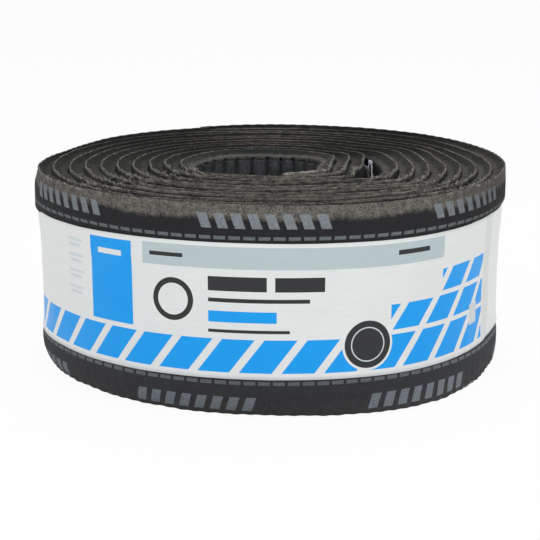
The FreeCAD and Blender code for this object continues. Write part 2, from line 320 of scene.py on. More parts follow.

# How light the fabric is painted: painted shade on its slopes round the roll, darkest at the back, a strip
# of painted shade high on the slopes at the back of the innermost turns, the innermost turn and the cut
# inner end lighter, and painted shade and light on the outermost wall
PAINTED_SHADE_ANGLES = (0, 45, 90, 135, 180, 225, 315, 360)
PAINTED_SLOPE_SHADES = (1.02, 0.18, 0.68, 0.18, 0.46, 0.76, 1.02, 1.02)
LINING_SHADE = 1.30
LINED_TURNS = (0.5, 0.7)
SHADE_STRIP_TURNS = (0.12, 0.2, 0.30, 0.4)
SHADE_STRIP_REACHES = (0.0004, 0.0012, 0.007, 0.0105)
TONE_WAVES = ((0.17, 0.30, 81),)
CUT_TONE = 1.3
CUT_TURNS = (INNER_END + 0.05, INNER_END + 0.14)
UPPER_HALF = (0.10, 0.20)
UPPER_PAINTED_SHADE = ((-24, 22, 0.46),)
LOWER_PAINTED_LIGHT = 0.50

# The camera fitted to the photograph, and the lamps: name, place, target, size and power
FRAME_PIXELS = 540.0
FOCAL_PIXELS = 1708.0
SHIFT_PIXELS = -1.5
CAMERA_PLACE = (-0.002, -2.309, 0.657)
CAMERA_DIP = math.radians(13.28)
CAMERA_ROLL = math.radians(-0.19)
LAMPS = (
    ("key", (-1.6, -2.4, 2.6), (0, 0, 0.15), 2.2, 39),
    ("fill", (2.4, -2.0, 1.6), (0, 0, 0.15), 2.0, 24),
    ("overhead", (0.2, 0.9, 2.8), (0, 0, 0.2), 2.4, 24),
)
FLOOR_HALF = 9.0
FLOOR_WHITENESS = 0.94
SURROUND_STRENGTH = 0.55


def smooth(value, start, end):
    """From 0 at start to 1 at end, with level ends."""
    share = np.clip((np.asarray(value, float) - start) / (end - start), 0, 1)
    return share * share * (3 - 2 * share)


def between(value, start, full, fading, end):
    """1 from full to fading, and nothing before start and after end."""
    return smooth(value, start, full) * (1 - smooth(value, fading, end))


def wander(places, length, seed):
    """A smooth random line along places, from -1 to 1, with swings about length long."""
    knots = np.asarray(places, float) / length
    values = np.random.default_rng(seed).uniform(-1, 1, KNOTS)
    index = np.floor(knots).astype(int)
    share = smooth(knots - index, 0, 1)
    return values[index % KNOTS] * (1 - share) + values[(index + 1) % KNOTS] * share


def swings(places, waves, lift=0):
    """The sum of waves along places: to both sides, or all to one side with a lift of 1."""
    return sum(height * (lift + wander(places, length, seed)) for height, length, seed in waves)


def ripples(along, across, waves):
    """The sum of waves of a surface, along one line across it."""
    total = 0
    for height, length, seed in waves:
        row = math.floor(across / length)
        share = smooth(across / length - row, 0, 1)
        below = wander(along, length, seed * 1000 + row)
        above = wander(along, length, seed * 1000 + row + 1)
        total = total + height * (below * (1 - share) + above * share)
    return total


def bell(off, spread):
    """1 where off is nothing, falling smoothly to nothing within about two spreads."""
    return np.exp(-(off / spread) ** 2)


def aside(angle, middle):
    """How far an angle is from a middle, the short way round."""
    return np.angle(np.exp(1j * (np.asarray(angle) - middle)))


def bumps(angle, places):
    """The sum of bumps round the roll."""
    return sum(
        height * bell(aside(angle, math.radians(middle)), math.radians(spread))
        for middle, spread, height in places
    )


def outline(angle):
    """The radius of the roll's outside near its top."""
    cosine = np.cos(angle)
    radius = ROLL_RADIUS + OUTLINE_RISE - OUTLINE_SHIFT * cosine + OUTLINE_WIDENING * cosine ** 2
    return radius + bumps(angle, OUT_OF_ROUND)


def mat_length(turn):
    """About how far along the mat a turn count is."""
    return FULL_TURN * (FIRST_RADIUS * turn + ROUND_PITCH * turn ** 2 / 2)


def fray(turn):
    """How frayed the mat's edge is, from 0 to 1."""
    return bumps(FULL_TURN * np.asarray(turn), FRAYED)


def crest_radius(turn):
    """The radius of the mat's outer face at its top edge. The last turn follows the roll's outside."""
    turn = np.asarray(turn, float)
    angle = FULL_TURN * turn
    swell = LEFT_SWELL * (1 - SWELL_LOSS * turn) * ((1 - np.cos(angle)) / 2) ** 2
    round_radius = FIRST_RADIUS + ROUND_PITCH * turn + swell
    off = aside(angle, FLAT_ANGLE)
    straightness = 1 - FLAT_ROUNDING * smooth(turn, *ROUNDING_TURNS)
    flat_radius = (FLAT_FIRST + FLAT_PITCH * turn) / np.cos(np.clip(straightness * off, -1.0, 1.0))
    flatness = np.exp(-(off / FLAT_SPREAD) ** 4)
    push = smooth(turn, *PUSH_TURNS) * (1 - PUSH_LOSS * smooth(turn, *PUSH_LOSS_TURNS))
    free = flatness * flat_radius + (1 - flatness) * round_radius + push * bumps(angle, BAG_PUSH)
    free = free - BAG_DENT * bell(turn - DENT_TURN, DENT_SPREAD) + swings(mat_length(turn), WINDING_WAVES)
    step = END_STEP * (1 - smooth(turn, WRAP_START, WRAP_START + END_STEP_TURNS))
    return free + smooth(turn, *WRAP_BLEND) * (outline(angle) - step - free)


def stations(start, end, spacing):
    """Turn counts from start to end, about spacing apart along the mat's outer face."""
    coarse = np.linspace(start, end, int((end - start) * STEPS_PER_TURN) + 2)
    radius = crest_radius(coarse)
    steps = np.hypot(np.diff(radius), FULL_TURN * np.diff(coarse) * (radius[1:] + radius[:-1]) / 2)
    lengths = np.concatenate([[0.0], np.cumsum(steps)])
    count = int(lengths[-1] / spacing) + 2
    return np.interp(np.linspace(0, lengths[-1], count), lengths, coarse)


def room_inside(turn):
    """How far it is from the mat's outer face to the turn inside it."""
    inner = np.where(turn - 1 > INNER_END, crest_radius(turn - 1), 0.0)
    return crest_radius(turn) - inner


def thickness(turn):
    """The mat's thickness at its ends: as made, or squeezed by the turn inside it."""
    loose = smooth(turn, WRAP_START, WRAP_START + LOOSE_TURNS) * bumps(FULL_TURN * turn, LOOSE_LEFT)
    return np.minimum(MAT_THICKNESS + loose, room_inside(turn) - TURN_CLEARANCE)


def link(name, data):
    piece = bpy.data.objects.new(name, data)
    bpy.context.scene.collection.objects.link(piece)
    return piece


def new_mesh(name, points, faces, smooth_faces=True):
    mesh = bpy.data.meshes.new(name)
    mesh.from_pydata(np.asarray(points, float).reshape(-1, 3).tolist(), [], faces)
    mesh.update()
    mesh.polygons.foreach_set("use_smooth", [smooth_faces] * len(mesh.polygons))
    return mesh


def loop_faces(rings, sides, first=0):
    """Quads of a closed section swept through rings, with a cap at each end, from the first point on."""
    faces = []
    for ring in range(rings - 1):
        here = first + ring * sides
        there = here + sides
        for side in range(sides):
            after = (side + 1) % sides
            faces.append((here + side, there + side, there + after, here + after))
    last = first + (rings - 1) * sides
    faces.append(tuple(range(first, first + sides)))
    faces.append(tuple(range(last + sides - 1, last - 1, -1)))
    return faces


def store(mesh, name, values):
    """A number for each point of a mesh, which its material reads."""
    attribute = mesh.attributes.new(name, "FLOAT", "POINT")
    attribute.data.foreach_set("value", np.asarray(values, np.float32).ravel())


def repeated(values, shape):
    """Values of the stations, repeated for each point of their sections."""
    return np.broadcast_to(values[:, None], shape)


def stand(angles, radius, height):
    """Points round the roll's axis, with a row of radii and heights at each angle."""
    angle = angles[:, None]
    return np.stack([radius * np.cos(angle), radius * np.sin(angle), height + 0 * radius], axis=-1)


def place(turns, inset, height):
    """Points of a section swept along the winding, from insets behind the crest and heights."""
    return stand(FULL_TURN * turns, crest_radius(turns)[:, None] - inset, height)


def drawn_in(height, angle):
    """How far the band draws the mat in: most at mid-height and at the sides."""
    share = np.interp(height, WAIST_HEIGHTS, WAIST_SHARES)
    return share * (WAIST_FRONT + WAIST_SIDES * np.cos(angle) ** 2)


def wall_inset(height, angle):
    """How far the outermost wall stands in from the roll's widest ring."""
    bulge_foot = BULGE_FOOT - bumps(angle, BULGE_SAGS)
    waist = drawn_in(height, angle) * (1 - smooth(height - bulge_foot, 0.0, BULGE_RISE))
    lip = np.interp(height, [LIP_FOOT, MAT_WIDTH], [0.0, 1.0]) * (LIP_INSET + bumps(angle, LIP_LEFT))
    foot = (1 + bumps(angle, FOOT_SPREADS)) * np.interp(height, FOOT_HEIGHTS, FOOT_INSETS)
    return waist + lip + foot


def scallops(lengths):
    """The matrix's folds as they show along the mat's edges, from -1 to 1."""
    return np.cos(FULL_TURN * lengths / SCALLOP_PITCH + swings(lengths, SCALLOP_WAVES))


def folds(lengths):
    """How far the matrix's folds stand out along the mat, from 0 to 1."""
    uneven = lengths + swings(lengths, FOLD_WAVES)
    return np.abs(np.sin(math.pi * uneven / FOLD_PITCH)) ** FOLD_ROUNDNESS


def wall_bulge(level, lengths):
    """How far the outermost wall's fabric is uneven at a level: most at its foot and near its top."""
    uneven = ripples(lengths, level, WALL_RIPPLES) + WALL_SCALLOP * scallops(lengths)
    share = FOOT_SHARE * smooth(level, *FOOT_ZONE) + TOP_SHARE * smooth(level, *TOP_ZONE)
    return uneven * (WALL_SHARE + share)


def crest_height(turns, outermost):
    """The height of the mat's top edge, uneven, and ragged where it is frayed."""
    lengths = mat_length(turns)
    scallop = SCALLOP_HEIGHT * (1 + scallops(lengths))
    if outermost:
        return MAT_WIDTH + bumps(FULL_TURN * turns, BACK_RISE) - swings(lengths, OUTER_WAVES, 1) - scallop
    rise = CORE_RISE * (1 - smooth(turns, *CORE_TURNS))
    drop = CREST_DROP + swings(lengths, CREST_WAVES, 1) + scallop
    ragged = swings(lengths, RAGGED_WAVES, 1) * fray(turns)
    return MAT_WIDTH + rise - drop - ragged - END_DIP * bell(turns - END_DIP_TURN, END_DIP_SPREAD)


def folded_ends(turns, lengths, thick, outermost):
    """The heights of the mat's top edge and foot, and the depths of its slopes and hems."""
    top = crest_height(turns, outermost)
    bottom = FLOOR_GAP + swings(lengths, FOOT_WAVES, 1) + SCALLOP_HEIGHT * (1 + scallops(lengths))
    fall = np.minimum(SLOPE_FALL * (FALL_SHARE + swings(lengths, FALL_WAVES)), thick / 2)
    hem = HEM_DEPTH - HEM_NOTCH * (1 - folds(lengths)) + swings(lengths, HEM_WAVES)
    return top, bottom, fall, np.maximum(hem, fall + HEM_LEAST)


def section(turns, lengths, wall_levels, outermost):
    """The insets, heights and reaches of the mat's section at each station: up the outer face, over the
    crest, down the slope, the hem and the inner face, and round the bottom end."""
    thick = thickness(turns)
    top, bottom, fall, hem = folded_ends(turns, lengths, thick, outermost)
    rows = []

    def add(inset, height, reach):
        rows.append([np.broadcast_to(value, turns.shape) for value in (inset, height, reach)])

    def wall(level):
        if not outermost:
            return 0.0
        return wall_inset(level, FULL_TURN * turns) + wall_bulge(level, lengths)

    for level in wall_levels:
        add(wall(level), level, -np.minimum(top - level, level - bottom))
    lip = wall(LIP_LEVEL)
    add(lip, top - LIP_DROP, -LIP_DROP)
    curled = lip + swings(lengths, CURL_WAVES)
    for inset, drop, reach in CREST_PROFILE:
        add(curled + inset, top - drop, reach)

    start = curled + CREST_PROFILE[-1][0]
    span = thick - start - FOLD_INSET
    for share in SLOPE_SHARES:
        sag = 1 + wander(lengths, SAG_LENGTH, SAG_SEED + int(10 * share))
        drop = SLOPE_DROP + (fall - SLOPE_DROP) * share + SLOPE_SAG * math.sin(math.pi * share) * sag
        add(start + share * span, top - drop, CREST_PROFILE[-1][2] + share * SLOPE_LENGTH)
    add(thick, top - fall - TOP_FOLD, FOLD_REACH)
    add(thick, top - hem, HEM_REACH)

    open_face = 1 - smooth(turns, *LINING_FADE)
    recess = thick - FACE_INSET - HEM_STEP * open_face
    gap = room_inside(turns) - recess - MEETING_CLEARANCE
    meeting = recess + gap * (1 - smooth(gap, *MEETING_GAPS)) * (1 - open_face)
    add(recess, top - hem - HEM_EDGE, FACE_REACH)
    add(meeting, MAT_WIDTH - MEETING_DEPTH, FACE_REACH)
    add(meeting, MEETING_DEPTH, FACE_REACH)
    add(recess, bottom + hem + HEM_EDGE, FACE_REACH)

    add(thick, bottom + hem, HEM_REACH)
    add(thick, bottom + fall + FOOT_FOLD, FOLD_REACH)
    foot = np.minimum(wall(FOOT_LEVEL), thick - FOOT_LEAST)
    add(thick - FOLD_INSET, bottom + fall, FOOT_REACHES[0])
    add((foot + thick) / 2, bottom + fall / 2 + SLOPE_DROP, FOOT_REACHES[1])
    for inset, rise, reach in FOOT_PROFILE:
        add(foot + inset, bottom + rise, reach)
    return np.array(rows).transpose(1, 2, 0)


def paint_mat(mesh, turns, height, reach, outermost):
    """Stores what the fabric's material reads."""
    shape = reach.shape
    whole_turns = round(float(turns.mean()) - 0.5)
    arc = FULL_TURN * ROLL_RADIUS * (turns - whole_turns - FRONT_TURN)
    # How much each station faces the sides: it carries the painted highlight on the crests and the painted
    # light low on the outermost wall
    side = repeated(np.cos(FULL_TURN * turns) ** 2, shape)
    # Painted shade: the slopes are darker round the back of the roll, and the innermost turn is lighter
    shade = np.interp(np.mod(turns, 1) * 360, PAINTED_SHADE_ANGLES, PAINTED_SLOPE_SHADES)
    shade = shade + (1 - smooth(turns, *LINED_TURNS)) * (LINING_SHADE - shade)
    tone_and_painted_light = 1 + swings(mat_length(turns), TONE_WAVES) + CUT_TONE * (1 - smooth(turns, *CUT_TURNS))
    tone_and_painted_light = repeated(tone_and_painted_light, shape)
    # On the outermost wall: painted shade on the upper half towards the front right, and painted light on
    # the lower half at both sides
    if outermost:
        upper = smooth(height, *UPPER_HALF)
        painted_dimming = repeated(bumps(FULL_TURN * turns, UPPER_PAINTED_SHADE), shape)
        tone_and_painted_light = tone_and_painted_light - upper * painted_dimming + LOWER_PAINTED_LIGHT * (1 - upper) * side
    store(mesh, "reach", reach)
    store(mesh, "arc", repeated(arc, shape))
    # Painted shade: a dark strip high on the slopes at the back of the innermost turns
    store(mesh, "painted_shade_strip", between(turns, *SHADE_STRIP_TURNS)[:, None] * between(reach, *SHADE_STRIP_REACHES))
    store(mesh, "side", side)
    store(mesh, "shade", repeated(shade, shape))
    store(mesh, "frayed", repeated(fray(turns), shape))
    store(mesh, "tone_and_painted_light", tone_and_painted_light)


def sweep_mat(name, start, end, spacing, wall_levels, outermost):
    """A length of the mat as one closed piece, with closer stations where it lines the bore."""
    turns = stations(start, end, spacing)
    if start < LINING_END:
        lining = stations(start, LINING_END, LINING_SPACING)
        turns = np.concatenate([lining, turns[turns > lining[-1] + LEAST_STEP]])
    inset, height, reach = section(turns, mat_length(turns), wall_levels, outermost)
    mesh = new_mesh(name, place(turns, inset, height), loop_faces(*inset.shape))
    paint_mat(mesh, turns, height, reach, outermost)
    return link(name, mesh)


def build_matrix():
    """The folded open matrix on the bore's wall, between the hems of the two ends."""
    turns = stations(*MATRIX_TURNS, MATRIX_SPACING)
    lengths = mat_length(turns)
    fold = folds(lengths)
    levels = np.linspace(MATRIX_EDGE, MAT_WIDTH - MATRIX_EDGE, MATRIX_ROWS)
    insets = []
    for order, behind in ((levels, MATRIX_THICKNESS), (levels[::-1], 0.0)):
        for level in order:
            swing = wander(lengths, SWING_LENGTH, int(level * DEPTH_SEEDS))
            depth = FOLD_DEPTH * fold * (1 + DEPTH_SWING * swing) + ripples(lengths, level, MATRIX_RIPPLES)
            insets.append(thickness(turns) - HEM_STEP + depth - behind)
    inset = np.stack(insets, axis=1)
    points = place(turns, inset, np.concatenate([levels, levels[::-1]]))
    mesh = new_mesh("bore_matrix", points, loop_faces(*inset.shape))
    store(mesh, "fold", repeated(fold, inset.shape))
    return link("bore_matrix", mesh)


def unit(vectors):
    """Rows of vectors, each brought to a length of one."""
    return vectors / np.linalg.norm(vectors, axis=1, keepdims=True)


def tubes(paths, radii, sides=3):
    """Thin closed tubes along paths of points, as points and faces of one mesh."""
    points, faces = [], []
    for path, radius in zip(paths, radii):
        ahead = unit(np.gradient(np.asarray(path, float), axis=0))
        guide = np.where(np.abs(ahead[:, 2:3]) > UPRIGHT, [[1.0, 0.0, 0.0]], [[0.0, 0.0, 1.0]])
        across = unit(np.cross(ahead, guide))
        over = np.cross(across, ahead)
        faces.extend(loop_faces(len(path), sides, len(points)))
        for centre, right, up in zip(path, across, over):
            for side in range(sides):
                turn = FULL_TURN * side / sides
                points.append(centre + radius * (math.cos(turn) * right + math.sin(turn) * up))
    return points, faces


def build_filaments():
    """Loose filaments of the matrix, lying over its folds in the bore."""
    draw = np.random.default_rng(FILAMENT_SEED)
    span = stations(*FILAMENT_TURNS, FILAMENT_SPACING)
    low = HEM_DEPTH + FILAMENT_MARGIN
    high = MAT_WIDTH - low
    paths, radii = [], []
    for _ in range(FILAMENT_COUNT):
        start = draw.integers(0, len(span) - FILAMENT_POINTS - 2)
        turns = span[start:start + FILAMENT_POINTS]
        middle = draw.uniform(low, high)
        level = middle + FILAMENT_LEAN * draw.uniform(-1, 1) * np.linspace(-1, 1, FILAMENT_POINTS)
        sway = np.sin(np.linspace(0, draw.uniform(*FILAMENT_SWAYS), FILAMENT_POINTS))
        level = np.clip(level + FILAMENT_SWAY * sway, low, high)
        inset = thickness(turns) - HEM_STEP + FOLD_DEPTH * folds(mat_length(turns)) + FILAMENT_LIFT
        paths.append(place(turns, inset[:, None], level[:, None])[:, 0])
        radii.append(draw.uniform(*FILAMENT_RADII))
    return link("matrix_filaments", new_mesh("matrix_filaments", *tubes(paths, radii)))


def build_fibres():
    """Fibres that fray from the crests of the turns, thickest at the front left and front right."""
    draw = np.random.default_rng(FIBRE_SEED)
    turns = draw.uniform(*FIBRE_TURNS, FIBRE_TRIES)
    turns = turns[draw.uniform(0, 1, FIBRE_TRIES) < FIBRE_SHARE + (1 - FIBRE_SHARE) * fray(turns)]
    inner = turns < WRAP_START
    tops = np.where(inner, crest_height(turns, False), crest_height(turns, True))
    lip = np.where(inner, 0.0, wall_inset(LIP_LEVEL, FULL_TURN * turns))
    insets = lip + draw.uniform(*FIBRE_INSETS, len(turns))
    feet = place(turns, insets[:, None], (tops - FIBRE_ROOT)[:, None])[:, 0]
    paths, radii = [], []
    for foot, worn in zip(feet, fray(turns)):
        longest, lean, bend = (plain + worn * more for plain, more in FIBRE_SIZES)
        rise = min(FIBRE_ROOT + draw.uniform(FIBRE_LEAST, longest), FIBRE_CEILING - foot[2])
        tip = np.array([*draw.normal(0, lean, 2), rise])
        curve = np.array([*draw.normal(0, bend, 2), 0])
        paths.append([foot + share * tip + share * share * curve for share in (0.0, 0.5, 1.0)])
        radii.append(draw.uniform(*FIBRE_RADII) * (1 + FIBRE_THICKENING * worn))
    return link("frayed_fibres", new_mesh("frayed_fibres", *tubes(paths, radii)))


def build_band():
    """The paper band: one strip round the roll, whose outer end laps over its inner end."""
    angles = np.linspace(BAND_SEAM - FULL_TURN, BAND_SEAM + BAND_LAP / BAND_RADIUS, BAND_STATIONS)
    along = (angles - FRONT) * BAND_RADIUS
    levels = np.linspace(BAND_LOW.z, BAND_HIGH.z, BAND_ROWS)
    lift = BAND_STANDOFF + LAP_LIFT * smooth(angles, *LIFT_ANGLES)
    flared = EDGE_FLARE * (FLARE_SHARE + swings(along, FLARE_WAVES))
    rows = []
    for order, behind in ((levels, 0.0), (levels[::-1], PAPER_THICKNESS)):
        for level in order:
            edge = min(level - BAND_LOW.z, BAND_HIGH.z - level)
            flare = flared * math.exp(-edge / FLARE_WIDTH)
            base = outline(angles) - drawn_in(level, angles) + ripples(along, level, BAND_RIPPLES)
            rows.append(base + lift + flare - behind)
    radius = np.stack(rows, axis=1)

    level = np.concatenate([levels, levels[::-1]])
    up = level - BAND_LOW.z
    share = up / (BAND_HIGH.z - BAND_LOW.z)
    slip = swings(along, SLIP_WAVES) - bumps(angles, BAND_SAGS)
    raised = np.outer(bumps(angles, BAND_FOOT_RISE), 1 - share)
    lowered = np.outer(bumps(angles, BAND_TOP_SAG), share)
    points = stand(angles, radius, level + slip[:, None] + raised - lowered)
    mesh = new_mesh("paper_band", points, loop_faces(*radius.shape))
    store(mesh, "along", repeated(along, radius.shape))
    store(mesh, "up", np.broadcast_to(up, radius.shape))
    return link("paper_band", mesh)


def full_bag():
    """The rings of the bag's full lower part, bent to the turns on both sides of it."""
    levels = np.linspace(BAG_LOW.z, BAG_TOP, BAG_ROWS)
    around = np.linspace(0, FULL_TURN, BAG_SIDES, endpoint=False)
    cosine, sine = BAG_WAY
    spin = np.array([[cosine, -sine], [sine, cosine]])
    rings = []
    for level in levels:
        share = (level - BAG_LOW.z) / (BAG_TOP - BAG_LOW.z)
        swell = math.sqrt(max(SWELL_LEAST, math.sin(math.pi * (SWELL_START + SWELL_SPAN * share))))
        crease = ripples(around * CREASE_SPAN, level, BAG_RIPPLES)
        radial = BAG_RADIUS + BAG_HALF_DEPTH * swell * np.sin(around) + crease
        tangent = BAG_HALF_LENGTH * swell * np.cos(around)
        flat = np.stack([radial - tangent ** 2 / (2 * BAG_BEND_RADIUS), tangent], axis=1) @ spin.T
        rings.append(np.column_stack([flat, np.full(BAG_SIDES, level)]))
    return np.stack(rings)


def ribbon(path, low, tops):
    """The rings of a closed upright strip of film along a path in plan."""
    ahead = unit(np.gradient(path, axis=0))
    shares = 1 - np.linspace(1, 0, FILM_ROWS) ** 2
    rings = []
    for step, (point, (right, away), top) in enumerate(zip(path, ahead, tops)):
        heights = low + shares * (top - low)
        flare = FILM_FLARE * np.sin(FLARE_UP * shares + FLARE_ALONG * step)
        outer, inner = (
            np.column_stack([point + np.outer(flare + half, (away, -right)), heights])
            for half in (HALF_FILM, -HALF_FILM)
        )
        rings.append(np.concatenate([outer, inner[::-1]]))
    return np.array(rings)


def film_edge():
    """The film's upper edge, which hooks round and runs part of the way back, and how cloudy it is, which
    also paints its highlights.
    """
    leg = np.linspace(-1, 1, LEG_STEPS)
    leg_across = np.linspace(*LEG_ACROSS, LEG_STEPS) + 0.0006 * np.sin(9 * leg) + 0.0004 * np.sin(23 * leg)
    hook = np.linspace(0, math.pi, HOOK_STEPS + 2)[1:-1]
    hook_across = HOOK_PLACE + HOOK_RADII[0] * np.cos(hook)
    back = np.linspace(1, BACK_END, BACK_STEPS)
    back_across = np.linspace(*BACK_ACROSS, BACK_STEPS) + 0.0006 * np.sin(9 * back)
    hook_along = FILM_HALF_LENGTH + HOOK_RADII[1] * np.sin(hook)
    along = np.concatenate([FILM_HALF_LENGTH * leg, hook_along, FILM_HALF_LENGTH * back])
    across = np.concatenate([leg_across, hook_across, back_across])
    path = np.stack([across, FILM_MIDDLE + along], axis=1) + FILM_RADIUS * BAG_WAY
    tops = BAG_HIGH.z - FILM_TOP_GAP - swings(np.arange(len(path)), FILM_WAVES, 1)
    leg_cloud_and_highlight = np.linspace(*LEG_CLOUD_AND_HIGHLIGHT, LEG_STEPS)
    back_cloud_and_highlight = np.linspace(*BACK_CLOUD_AND_HIGHLIGHT, BACK_STEPS)
    cloud = np.concatenate([leg_cloud_and_highlight, np.full(HOOK_STEPS, HOOK_CLOUD_AND_HIGHLIGHT), back_cloud_and_highlight])
    return ribbon(path, BAG_HIGH.z - EDGE_DEPTH, tops), cloud


def film_flap():
    """A flap of the film beside its edge, and how cloudy it is, which also paints its highlight."""
    across = FLAP_PLACE - FLAP_BULGE * np.sin(np.linspace(0, FLAP_BEND, FLAP_STEPS))
    path = np.stack([across, np.linspace(*FLAP_ALONG, FLAP_STEPS)], axis=1) + FILM_RADIUS * BAG_WAY
    tops = BAG_HIGH.z - np.linspace(*FLAP_TOP_GAPS, FLAP_STEPS)
    return ribbon(path, BAG_TOP, tops), np.linspace(*FLAP_CLOUD_AND_HIGHLIGHT, FLAP_STEPS)


def build_bag():
    """The clear bag: full below, with creased film above it that stands between the turns."""
    points, faces, crease_cloud_and_highlight = [], [], []
    for rings, cloud in ((full_bag(), np.zeros(BAG_ROWS)), film_edge(), film_flap()):
        faces.extend(loop_faces(*rings.shape[:2], len(points)))
        points.extend(rings.reshape(-1, 3))
        below_top = rings[..., 2] - rings[..., 2].max(axis=1, keepdims=True)
        # The creases' cloudiness, which also paints the film's highlights
        crease_cloud_and_highlight.extend((cloud[:, None] * smooth(below_top, *CREASE_FADE)).ravel())
    mesh = new_mesh("film_bag", points, faces)
    store(mesh, "crease", crease_cloud_and_highlight)
    return link("film_bag", mesh)


class Nodes:
    """Short ways to wire a material's nodes, from sockets and plain values."""

    def __init__(self, name):
        self.material = bpy.data.materials.new(name)
        self.material.use_nodes = True
        self.tree = self.material.node_tree
        self.surface = self.tree.nodes["Principled BSDF"]

    def feed(self, socket, value):
        if isinstance(value, bpy.types.NodeSocket):
            self.tree.links.new(value, socket)
        else:
            socket.default_value = value

    def set(self, name, value):
        self.feed(self.surface.inputs[name], value)

    def add(self, kind, output, inputs, **settings):
        """Adds a node, sets it and feeds it, and gives one of its outputs."""
        node = self.tree.nodes.new(kind)
        for name, value in settings.items():
            setattr(node, name, value)
        for key, value in inputs.items():
            self.feed(node.inputs[key], value)
        return node.outputs[output]

    def math(self, operation, *values):
        return self.add("ShaderNodeMath", 0, dict(enumerate(values)), operation=operation)

    def both(self, first, second):
        return self.math("MULTIPLY", first, second)

    def either(self, first, second):
        return self.math("MAXIMUM", first, second)

    def weigh(self, first, first_share, second, second_share):
        """The sum of two values, each times its share."""
        return self.math("ADD", self.both(first, first_share), self.both(second, second_share))

    def within(self, value, centre, half):
        """1 where value lies no further than half from centre."""
        return self.math("COMPARE", value, centre, half)

    def attribute(self, name):
        return self.add("ShaderNodeAttribute", "Fac", {}, attribute_name=name)

    def position(self):
        return self.add("ShaderNodeTexCoord", "Object", {})

    def height(self):
        return self.add("ShaderNodeSeparateXYZ", "Z", {0: self.position()})

    def stretched(self, vector, upward):
        """A place drawn out or squeezed upwards."""
        inputs = {0: vector, 1: (1.0, 1.0, upward)}
        return self.add("ShaderNodeVectorMath", 0, inputs, operation="MULTIPLY")

    def noise(self, vector, scale, detail=2.0, roughness=0.5):
        inputs = {"Vector": vector, "Scale": scale, "Detail": detail, "Roughness": roughness}
        return self.add("ShaderNodeTexNoise", "Fac", inputs)

    def streaks(self, along, across, length, width):
        """Noise drawn out along a piece, from two of its attributes."""
        parts = [self.math("DIVIDE", self.attribute(along), length)]
        parts.append(self.math("DIVIDE", self.attribute(across), width))
        return self.noise(self.add("ShaderNodeCombineXYZ", 0, dict(enumerate(parts))), 1.0, 3.0, 0.6)

    def ramp(self, value, low, high, to_low=0.0, to_high=1.0):
        """A smooth step as value goes from low to high."""
        inputs = {"Value": value, "From Min": low, "From Max": high, "To Min": to_low, "To Max": to_high}
        return self.add("ShaderNodeMapRange", "Result", inputs, interpolation_type="SMOOTHSTEP")

    def ridge(self, value, start, full, fading, end):
        """1 from full to fading, and nothing before start and after end."""
        return self.both(self.ramp(value, start, full), self.ramp(value, end, fading))

    def mix(self, share, first, second):
        inputs = {"Factor": share, "A": first, "B": second}
        return self.add("ShaderNodeMix", "Result", inputs, data_type="RGBA")

    def scale(self, colour, amount):
        """A colour made lighter or darker by a factor."""
        return self.add("ShaderNodeVectorMath", 0, {0: colour, "Scale": amount}, operation="SCALE")

    def bump(self, height, distance, strength):
        inputs = {"Strength": strength, "Distance": distance, "Height": height}
        self.set("Normal", self.add("ShaderNodeBump", "Normal", inputs))


def rgb(red, green, blue):
    return (red, green, blue, 1.0)


def bar_groups(nodes, arc, height, middle, lean, shift):
    """Groups of slanted bars printed along the mat."""
    slanted = nodes.math("ADD", arc, nodes.both(nodes.math("SUBTRACT", height, middle), lean))
    local = nodes.math("WRAP", nodes.math("ADD", slanted, shift), GROUP_PITCH, 0.0)
    bars = nodes.within(nodes.math("WRAP", local, BAR_PITCH, 0.0), BAR_PITCH / 2, BAR_HALF_WIDTH)
    group = nodes.within(local, GROUP_LENGTH / 2, GROUP_LENGTH / 2)
    return nodes.both(nodes.both(bars, group), nodes.within(height, middle, BAR_HALF_HEIGHT))


def fabric_print(nodes):
    """Where the fabric's outer face is printed: two rows of dashes and two rows of slanted bars."""
    arc = nodes.attribute("arc")
    height = nodes.height()
    dash = nodes.within(nodes.math("WRAP", arc, DASH_PITCH, 0.0), DASH_PITCH / 2, DASH_LENGTH / 2)
    rows = nodes.either(*(nodes.within(height, level, DASH_HEIGHT / 2) for level in DASH_LEVELS))
    faint_dash = nodes.both(nodes.both(dash, rows), DASH_STRENGTH)
    bars = nodes.either(*(bar_groups(nodes, arc, height, *group) for group in BAR_GROUPS))
    return nodes.either(faint_dash, bars)


def rim_colour(nodes, grain, patch, mottle, printed):
    """Brownish grey with a dark speckle, drawn out along the mat on the inner turns."""
    if printed:
        edge = nodes.weigh(grain, 0.7, patch, 0.3)
        softness = 0.20
    else:
        edge = nodes.weigh(mottle, 0.55, nodes.streaks("arc", "reach", 0.030, 0.0014), 0.45)
        softness = 0.12
    speckle = nodes.ramp(edge, 0.5 - softness, 0.5 + softness)
    return nodes.mix(speckle, rgb(0.027, 0.026, 0.024), rgb(0.212, 0.198, 0.173))


def crest_highlight_and_fray(nodes, place_of, reach, patch):
    """Where the fabric is painted pale: a painted highlight in broken lines on the crests at both sides,
    and pale fibres where it is frayed.
    """
    broken = nodes.ramp(nodes.noise(place_of, 60.0, 4.0, 0.7), 0.44, 0.62, 0.06, 1.0)
    at_sides = nodes.ramp(nodes.attribute("side"), 0.66, 1.0, 0.0, 0.66)
    crest = nodes.both(nodes.ridge(reach, -0.0022, -0.0004, 0.0006, 0.0020), nodes.both(broken, at_sides))
    in_patches = nodes.both(nodes.attribute("frayed"), nodes.ramp(patch, 0.50, 0.60))
    torn = nodes.both(nodes.ridge(reach, -0.0045, -0.0008, 0.0012, 0.0045), in_patches)
    return nodes.either(crest, torn)


